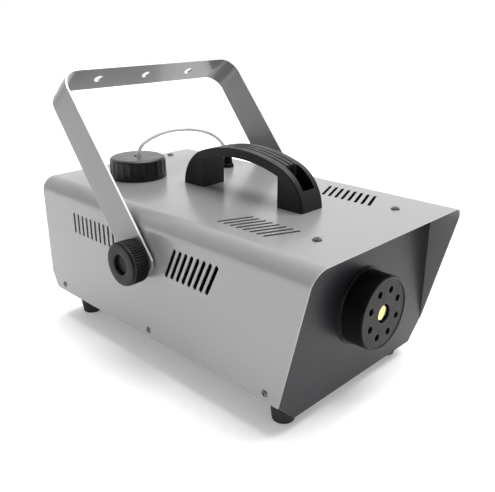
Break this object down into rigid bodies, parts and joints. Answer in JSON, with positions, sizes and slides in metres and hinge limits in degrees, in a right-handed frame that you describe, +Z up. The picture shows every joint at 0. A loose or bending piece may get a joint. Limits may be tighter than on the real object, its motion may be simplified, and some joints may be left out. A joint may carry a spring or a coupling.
{
  "type": "fog machine",
  "caption": "Sheet-metal fog machine with a hooded front, a guarded brass nozzle, a tilting yoke with clamp knobs, a handle, a screw-capped fluid tank and a hose",
  "frame": {"origin": "on the floor, under the middle of the casing's box", "axes": "+Z up, -Y the way the nozzle points, +X to the right seen from behind the nozzle"},
  "size_m": [0.279, 0.394, 0.2904],
  "materials": {
    "casing": "satin grey-silver powder coat",
    "yoke_metal": "satin mid-grey powder coat",
    "dark_panel": "satin dark grey powder coat",
    "pan_metal": "satin grey powder coat",
    "black_plastic": "matte black moulded nylon",
    "grey_plastic": "fine-grained charcoal plastic",
    "cap_plastic": "satin dark grey moulded cap",
    "rocker_red": "glossy red rocker",
    "rubber": "black rubber",
    "screw_black": "black oxide steel",
    "zinc_steel": "zinc-plated steel",
    "dark_steel": "blackened steel",
    "brass": "turned brass",
    "copper": "drawn copper",
    "cast_alloy": "cast aluminium",
    "sheet_alloy": "thin aluminium sheet",
    "wool": "mineral wool blanket",
    "tank_plastic": "translucent white polythene",
    "hose_clear": "milky flexible tube",
    "board_green": "green circuit board",
    "coil_tape": "varnished coil tape",
    "glass": "fuse glass with plated ends"
  },
  "bodies": {
    "root": {"cover": "casing", "front_panel": "dark_panel", "rear_panel": "dark_panel", "chassis_pan": "pan_metal", "foot_front_left": "rubber", "foot_front_right": "rubber", "foot_rear_left": "rubber", "foot_rear_right": "rubber", "top_screws": "screw_black", "side_screws": "screw_black", "foot_screws": "zinc_steel", "handle": "grey_plastic", "handle_screws": "screw_black", "handle_nuts": "zinc_steel", "weld_nuts": "zinc_steel", "rubber_washers": "rubber", "steel_washers": "zinc_steel", "nozzle_guard": "black_plastic", "guard_screws": "zinc_steel", "brass_nozzle": "brass", "heater_block": "cast_alloy", "heating_rods": "zinc_steel", "insulation": "wool", "heater_jacket": "sheet_alloy", "heater_stands": "zinc_steel", "heater_thermostats": "zinc_steel", "fluid_tank": "tank_plastic", "tank_bracket": "zinc_steel", "fluid_hose": "hose_clear", "suction_filter": "grey_plastic", "hose_gland": "black_plastic", "gland_nut": "black_plastic", "pump_body": "zinc_steel", "pump_coil": "coil_tape", "pump_frame": "zinc_steel", "pump_bracket": "zinc_steel", "pressure_pipe": "copper", "board_standoffs": "zinc_steel", "control_board": "board_green", "board_parts": "black_plastic", "terminal_block": "black_plastic", "mains_inlet": "black_plastic", "inlet_pins": "zinc_steel", "socket_screws": "screw_black", "switch_body": "black_plastic", "fuse_holder": "black_plastic", "remote_socket": "black_plastic"},
    "yoke": {"yoke": "yoke_metal"},
    "left_stud": {"left_stud": "dark_steel"},
    "left_knob": {"left_knob": "black_plastic"},
    "right_stud": {"right_stud": "dark_steel"},
    "right_knob": {"right_knob": "black_plastic"},
    "cap_lift": {"cap_seal": "rubber"},
    "cap": {"tank_cap": "cap_plastic"},
    "rocker": {"switch_rocker": "rocker_red"},
    "fuse_drawer": {"fuse_carrier": "black_plastic", "fuse": "glass"},
    "fuse_lid": {"fuse_cap": "black_plastic"},
    "piston": {"pump_piston": "zinc_steel", "pump_spring": "zinc_steel"}
  },
  "joints": [
    {"name": "yoke_tilt", "type": "hinge", "parent": "root", "child": "yoke", "pos_m": [0, 0.015, 0.121], "axis": [1, 0, 0], "range_deg": [-60, 109]},
    {"name": "left_stud_slide", "type": "slide", "parent": "root", "child": "left_stud", "axis": [-1, 0, 0], "range_m": [0, 0.00313]},
    {"name": "left_knob_turn", "type": "hinge", "parent": "left_stud", "child": "left_knob", "pos_m": [-0.13, 0.015, 0.121], "axis": [-1, 0, 0], "range_deg": [0, 900]},
    {"name": "right_stud_slide", "type": "slide", "parent": "root", "child": "right_stud", "axis": [1, 0, 0], "range_m": [0, 0.00313]},
    {"name": "right_knob_turn", "type": "hinge", "parent": "right_stud", "child": "right_knob", "pos_m": [0.13, 0.015, 0.121], "axis": [1, 0, 0], "range_deg": [0, 900]},
    {"name": "cap_rise", "type": "slide", "parent": "root", "child": "cap_lift", "axis": [0, 0, 1], "range_m": [0, 0.00401]},
    {"name": "cap_turn", "type": "hinge", "parent": "cap_lift", "child": "cap", "pos_m": [-0.034, 0.124, 0.18], "axis": [0, 0, 1], "range_deg": [0, 360]},
    {"name": "rocker_tilt", "type": "hinge", "parent": "root", "child": "rocker", "pos_m": [0.044, 0.186, 0.108], "axis": [1, 0, 0], "range_deg": [0, 16]},
    {"name": "fuse_pull", "type": "slide", "parent": "root", "child": "fuse_drawer", "axis": [0, 1, 0], "range_m": [0, 0.03]},
    {"name": "fuse_turn", "type": "hinge", "parent": "fuse_drawer", "child": "fuse_lid", "pos_m": [0.088, 0.19, 0.108], "axis": [0, 1, 0], "range_deg": [0, 60]},
    {"name": "piston_stroke", "type": "slide", "parent": "root", "child": "piston", "axis": [0, 0, 1], "range_m": [-0.003, 0.003], "stiffness_N_per_m": 400, "deforming": ["pump_spring"]}
  ],
  "couplings": [
    {"joint": "left_stud_slide", "follows": "left_knob_turn", "m_per_rad": 0.00019894},
    {"joint": "right_stud_slide", "follows": "right_knob_turn", "m_per_rad": 0.00019894},
    {"joint": "cap_rise", "follows": "cap_turn", "m_per_rad": 0.00063662}
  ]
}
